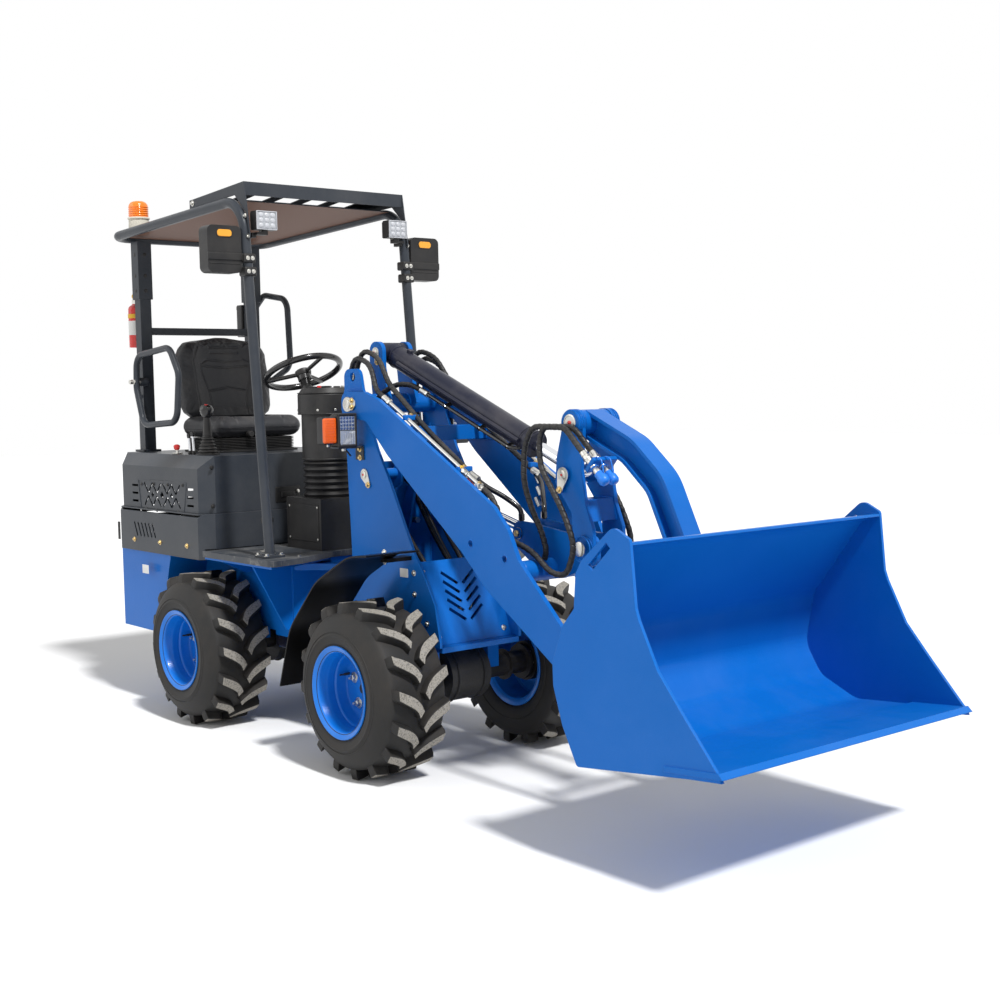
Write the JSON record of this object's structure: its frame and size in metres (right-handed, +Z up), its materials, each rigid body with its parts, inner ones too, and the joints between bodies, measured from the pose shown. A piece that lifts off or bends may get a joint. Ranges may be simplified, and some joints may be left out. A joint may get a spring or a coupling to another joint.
{
  "type": "wheel loader",
  "caption": "Compact articulated wheel loader with an open two-post canopy, a single driver's seat, a lifting boom with a bell-crank linkage and a wide front bucket",
  "frame": {"origin": "bottom centre of the whole machine's bounding box, on the ground under the tyres", "axes": "+X forward along the machine's length, +Y to the driver's left, +Z up"},
  "size_m": [4.0136, 1.184, 2.3526],
  "materials": {
    "blue_paint": "gloss",
    "charcoal_paint": "satin",
    "black_plastic": "matte",
    "tyre_black": "matte",
    "seat_black": "satin",
    "rod_chrome": "polished",
    "cylinder_black": "gloss",
    "iron_black": "rough",
    "bright_steel": "brushed",
    "lamp_amber": "gloss",
    "red_paint": "gloss",
    "hose_black": "matte"
  },
  "bodies": {
    "rear": {"beacon": "lamp_amber", "console": "black_plastic", "control_levers": "black_plastic", "counterweight": "blue_paint", "engine_block": "iron_black", "engine_cover": "charcoal_paint", "extinguisher": "red_paint", "lower_cover": "charcoal_paint", "mirrors": "black_plastic", "platform": "charcoal_paint", "rear_axle": "iron_black", "rear_frame": "blue_paint", "rear_posts": "charcoal_paint", "roof_frame": "charcoal_paint", "roof_guard": "charcoal_paint", "roof_sheet": "charcoal_paint", "seat_back": "seat_black", "seat_base": "black_plastic", "seat_cushion": "seat_black", "tail_lamps": "black_plastic", "work_lamps": "black_plastic"},
    "grille": {"rear_grille": "charcoal_paint"},
    "steering_wheel": {"steering_wheel": "black_plastic"},
    "right_guard": {"right_guard": "black_plastic"},
    "left_guard": {"left_guard": "black_plastic"},
    "rear_left_wheel": {"rear_left_rim": "blue_paint", "rear_left_tyre": "tyre_black"},
    "rear_right_wheel": {"rear_right_rim": "blue_paint", "rear_right_tyre": "tyre_black"},
    "front": {"front_frame": "blue_paint", "tower": "blue_paint", "front_cover": "blue_paint", "front_axle": "iron_black", "front_fenders": "black_plastic", "headlamps": "black_plastic", "tower_hoses": "hose_black"},
    "front_left_wheel": {"front_left_rim": "blue_paint", "front_left_tyre": "tyre_black"},
    "front_right_wheel": {"front_right_rim": "blue_paint", "front_right_tyre": "tyre_black"},
    "boom": {"boom": "blue_paint", "boom_lines": "hose_black", "loop_hoses": "hose_black"},
    "lever": {"lever": "blue_paint", "tail_hoses": "hose_black"},
    "link": {"link": "blue_paint", "link_couplings": "bright_steel"},
    "bucket": {"quick_coupler": "blue_paint", "bucket": "blue_paint"},
    "lift_barrel": {"lift_barrel": "cylinder_black"},
    "lift_rod": {"lift_rod": "rod_chrome"},
    "tilt_barrel": {"tilt_barrel": "cylinder_black"},
    "tilt_rod": {"tilt_rod": "rod_chrome"},
    "steer_barrel": {"steer_barrel": "cylinder_black"},
    "steer_rod": {"steer_rod": "rod_chrome"}
  },
  "joints": [
    {"name": "articulation", "type": "hinge", "parent": "rear", "child": "front", "pos_m": [-0.524, 0, 0.56], "axis": [0, 0, 1], "range_deg": [-40, 40]},
    {"name": "rear_left_spin", "type": "hinge", "parent": "rear", "child": "rear_left_wheel", "pos_m": [-1.151, 0.434, 0.33], "axis": [0, 1, 0], "continuous": true},
    {"name": "rear_right_spin", "type": "hinge", "parent": "rear", "child": "rear_right_wheel", "pos_m": [-1.151, -0.434, 0.33], "axis": [0, 1, 0], "continuous": true},
    {"name": "front_left_spin", "type": "hinge", "parent": "front", "child": "front_left_wheel", "pos_m": [0.103, 0.434, 0.33], "axis": [0, 1, 0], "continuous": true},
    {"name": "front_right_spin", "type": "hinge", "parent": "front", "child": "front_right_wheel", "pos_m": [0.103, -0.434, 0.33], "axis": [0, 1, 0], "continuous": true},
    {"name": "steering_turn", "type": "hinge", "parent": "rear", "child": "steering_wheel", "pos_m": [-0.912, 0, 1.445], "axis": [-0.4067, 0, 0.9135], "continuous": true},
    {"name": "right_guard_swing", "type": "hinge", "parent": "rear", "child": "right_guard", "pos_m": [-1.842, -0.362, 1.5], "axis": [0, -1, 0], "range_deg": [0, 90]},
    {"name": "left_guard_swing", "type": "hinge", "parent": "rear", "child": "left_guard", "pos_m": [-1.842, 0.362, 1.5], "axis": [0, -1, 0], "range_deg": [-90, 0]},
    {"name": "grille_door", "type": "hinge", "parent": "rear", "child": "grille", "pos_m": [-1.924, 0, 1.096], "axis": [0, 1, 0], "range_deg": [0, 70]},
    {"name": "boom_lift", "type": "hinge", "parent": "front", "child": "boom", "pos_m": [-0.267, 0, 1.385], "axis": [0, -1, 0], "range_deg": [-12, 62], "deforming": ["tower_hoses"]},
    {"name": "lift_barrel_swing", "type": "hinge", "parent": "front", "child": "lift_barrel", "pos_m": [-0.197, 0, 1.107], "axis": [0, -1, 0], "range_deg": [-12, 62]},
    {"name": "lift_rod_slide", "type": "slide", "parent": "lift_barrel", "child": "lift_rod", "axis": [0.9693, 0, -0.2458], "range_m": [-0.06, 0.3]},
    {"name": "tilt_barrel_swing", "type": "hinge", "parent": "front", "child": "tilt_barrel", "pos_m": [-0.277, 0, 1.59], "axis": [0, -1, 0], "range_deg": [-13, 64]},
    {"name": "tilt_rod_slide", "type": "slide", "parent": "tilt_barrel", "child": "tilt_rod", "axis": [0.9265, 0, -0.3764], "range_m": [-0.21, 0.05]},
    {"name": "bucket_tilt", "type": "hinge", "parent": "boom", "child": "bucket", "pos_m": [1.203, 0, 0.43], "axis": [0, -1, 0], "range_deg": [-60, 10]},
    {"name": "lever_swing", "type": "hinge", "parent": "boom", "child": "lever", "pos_m": [0.933, 0, 0.884], "axis": [0, -1, 0], "range_deg": [-74, 13], "deforming": ["loop_hoses"]},
    {"name": "link_swing", "type": "hinge", "parent": "lever", "child": "link", "pos_m": [0.893, 0, 1.315], "axis": [0, -1, 0], "range_deg": [-11, 61], "deforming": ["tail_hoses"]},
    {"name": "steer_barrel_swing", "type": "hinge", "parent": "rear", "child": "steer_barrel", "pos_m": [-0.877, -0.19, 0.362], "axis": [0, 0, 1], "range_deg": [-20, 20]},
    {"name": "steer_rod_slide", "type": "slide", "parent": "steer_barrel", "child": "steer_rod", "axis": [0.9984, 0.0571, 0], "range_m": [-0.12, 0.12]}
  ],
  "couplings": [
    {"joint": "lift_barrel_swing", "follows": "boom_lift", "ratio": 0.99},
    {"joint": "lift_rod_slide", "follows": "boom_lift", "m_per_rad": 0.272},
    {"joint": "tilt_barrel_swing", "follows": "boom_lift", "ratio": 1.02},
    {"joint": "tilt_rod_slide", "follows": "boom_lift", "m_per_rad": -0.19},
    {"joint": "lever_swing", "follows": "bucket_tilt", "ratio": 1.22},
    {"joint": "link_swing", "follows": "bucket_tilt", "ratio": -1.01},
    {"joint": "steer_barrel_swing", "follows": "articulation", "ratio": 0.48},
    {"joint": "steer_rod_slide", "follows": "articulation", "m_per_rad": 0.166}
  ]
}
